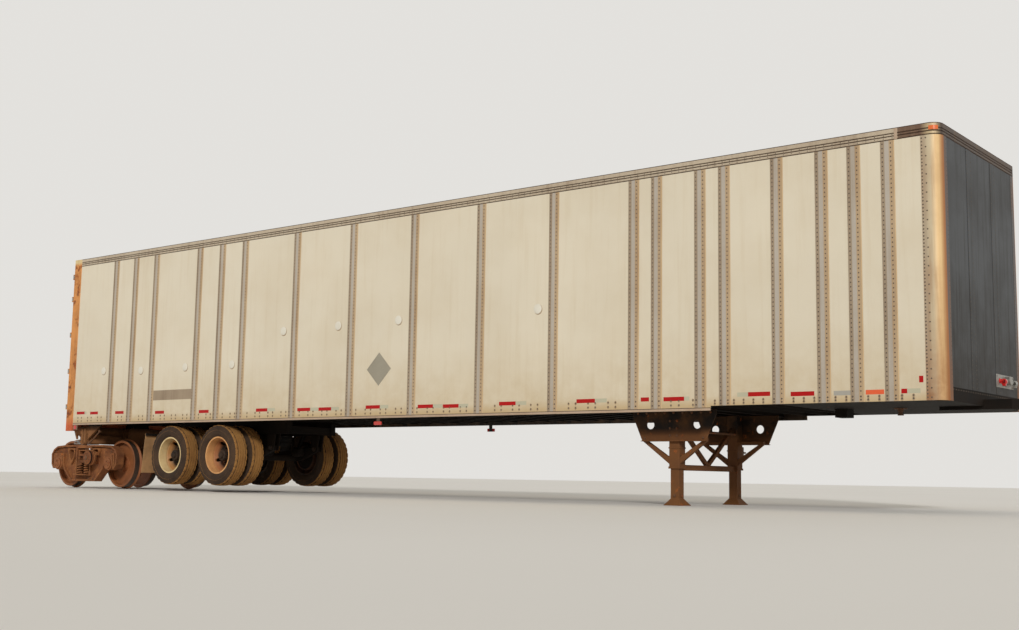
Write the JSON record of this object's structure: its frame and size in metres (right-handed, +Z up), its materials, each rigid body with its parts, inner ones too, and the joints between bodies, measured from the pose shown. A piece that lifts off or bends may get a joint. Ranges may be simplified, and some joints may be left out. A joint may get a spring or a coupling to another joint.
{
  "type": "bimodal road-rail van trailer",
  "caption": "Box van trailer for road and rail, resting on a rail bogie and its landing legs, with swing rear doors and raised road wheels.",
  "frame": {"origin": "middle of the bounding box on the floor, which is the level of the rail wheels' flange tips and the landing feet", "axes": "+X to the nose, +Y to the left side, +Z up"},
  "size_m": [17.5188, 2.591, 4.1868],
  "materials": {
    "panel_white": "faded off-white gloss",
    "post_taupe": "weathered grey-taupe",
    "rail_taupe": "weathered extrusion",
    "frame_rust": "rusting orange-brown",
    "underframe_black": "dusty black",
    "gear_brown": "rusted brown",
    "cast_brown": "dusty rusted casting",
    "wheel_steel": "rusted, worn bright on the tread",
    "tyre_rubber": "dusty",
    "rim_cream": "dusty off-white",
    "rim_rust": "rusting",
    "floor_wood": "worn laminated planks",
    "sheet_aluminium": "mill finish",
    "bow_steel": "galvanised",
    "door_white": "faded off-white",
    "hardware_steel": "galvanised, dull",
    "lamp_red": "clear red lens",
    "flap_tan": "dusty",
    "bellows_rubber": "dusty"
  },
  "bodies": {
    "trailer": {"air_springs": "bellows_rubber", "base_rail_left": "rail_taupe", "base_rail_right": "rail_taupe", "bogie_adapter": "cast_brown", "brake_chambers": "underframe_black", "corner_post_left": "rail_taupe", "corner_post_right": "rail_taupe", "coupling_pocket": "underframe_black", "crossmembers": "underframe_black", "flap_hangers": "underframe_black", "floor_deck": "floor_wood", "front_sill": "underframe_black", "front_wall": "panel_white", "kingpin": "hardware_steel", "lamps": "lamp_red", "landing_braces": "gear_brown", "landing_brackets": "gear_brown", "landing_crank": "hardware_steel", "landing_feet": "gear_brown", "landing_legs": "gear_brown", "mud_flaps": "flap_tan", "nose_tongue": "underframe_black", "rear_frame": "frame_rust", "rear_header": "frame_rust", "rear_sill": "frame_rust", "road_axles": "underframe_black", "roof_bows": "bow_steel", "roof_sheet": "sheet_aluminium", "side_panel_left": "panel_white", "side_panel_right": "panel_white", "splice_posts_left": "post_taupe", "splice_posts_right": "post_taupe", "suspension_frame": "underframe_black", "top_rail_front": "rail_taupe", "top_rail_left": "rail_taupe", "top_rail_right": "rail_taupe", "trailing_arms": "underframe_black", "upper_coupler": "underframe_black"},
    "right_door": {"door_right": "door_white", "door_hardware_right": "hardware_steel"},
    "left_door": {"door_left": "door_white", "door_hardware_left": "hardware_steel"},
    "road_wheels_rear_right": {"road_tyres_rear_right": "tyre_rubber", "road_rims_rear_right": "rim_cream"},
    "road_wheels_rear_left": {"road_tyres_rear_left": "tyre_rubber", "road_rims_rear_left": "rim_cream"},
    "road_wheels_front_right": {"road_tyres_front_right": "tyre_rubber", "road_rims_front_right": "rim_rust"},
    "road_wheels_front_left": {"road_tyres_front_left": "tyre_rubber", "road_rims_front_left": "rim_rust"},
    "bogie": {"bogie_bearings": "cast_brown", "bogie_bolster": "cast_brown", "bogie_side_frame_left": "cast_brown", "bogie_side_frame_right": "cast_brown", "bogie_springs": "cast_brown", "brake_beams": "cast_brown", "brake_cylinder": "cast_brown", "brake_levers": "cast_brown"},
    "rail_wheels_rear": {"wheelset_rear": "wheel_steel"},
    "rail_wheels_front": {"wheelset_front": "wheel_steel"}
  },
  "joints": [
    {"name": "right_door_swing", "type": "hinge", "parent": "trailer", "child": "right_door", "pos_m": [-7.8525, -1.279, 2.655], "axis": [0, 0, 1], "range_deg": [0, 265]},
    {"name": "left_door_swing", "type": "hinge", "parent": "trailer", "child": "left_door", "pos_m": [-7.8525, 1.279, 2.655], "axis": [0, 0, -1], "range_deg": [0, 265]},
    {"name": "road_wheel_spin_rear_right", "type": "hinge", "parent": "trailer", "child": "road_wheels_rear_right", "pos_m": [-4.7945, -0.951, 0.595], "axis": [0, 1, 0], "continuous": true},
    {"name": "road_wheel_spin_rear_left", "type": "hinge", "parent": "trailer", "child": "road_wheels_rear_left", "pos_m": [-4.7945, 0.951, 0.595], "axis": [0, 1, 0], "continuous": true},
    {"name": "road_wheel_spin_front_right", "type": "hinge", "parent": "trailer", "child": "road_wheels_front_right", "pos_m": [-3.5495, -0.951, 0.595], "axis": [0, 1, 0], "continuous": true},
    {"name": "road_wheel_spin_front_left", "type": "hinge", "parent": "trailer", "child": "road_wheels_front_left", "pos_m": [-3.5495, 0.951, 0.595], "axis": [0, 1, 0], "continuous": true},
    {"name": "bogie_swivel", "type": "hinge", "parent": "trailer", "child": "bogie", "pos_m": [-7.5295, 0, 0.745], "axis": [0, 0, 1], "range_deg": [-10, 10]},
    {"name": "rail_wheel_spin_rear", "type": "hinge", "parent": "bogie", "child": "rail_wheels_rear", "pos_m": [-8.3145, 0, 0.445], "axis": [0, 1, 0], "continuous": true},
    {"name": "rail_wheel_spin_front", "type": "hinge", "parent": "bogie", "child": "rail_wheels_front", "pos_m": [-6.7445, 0, 0.445], "axis": [0, 1, 0], "continuous": true}
  ]
}
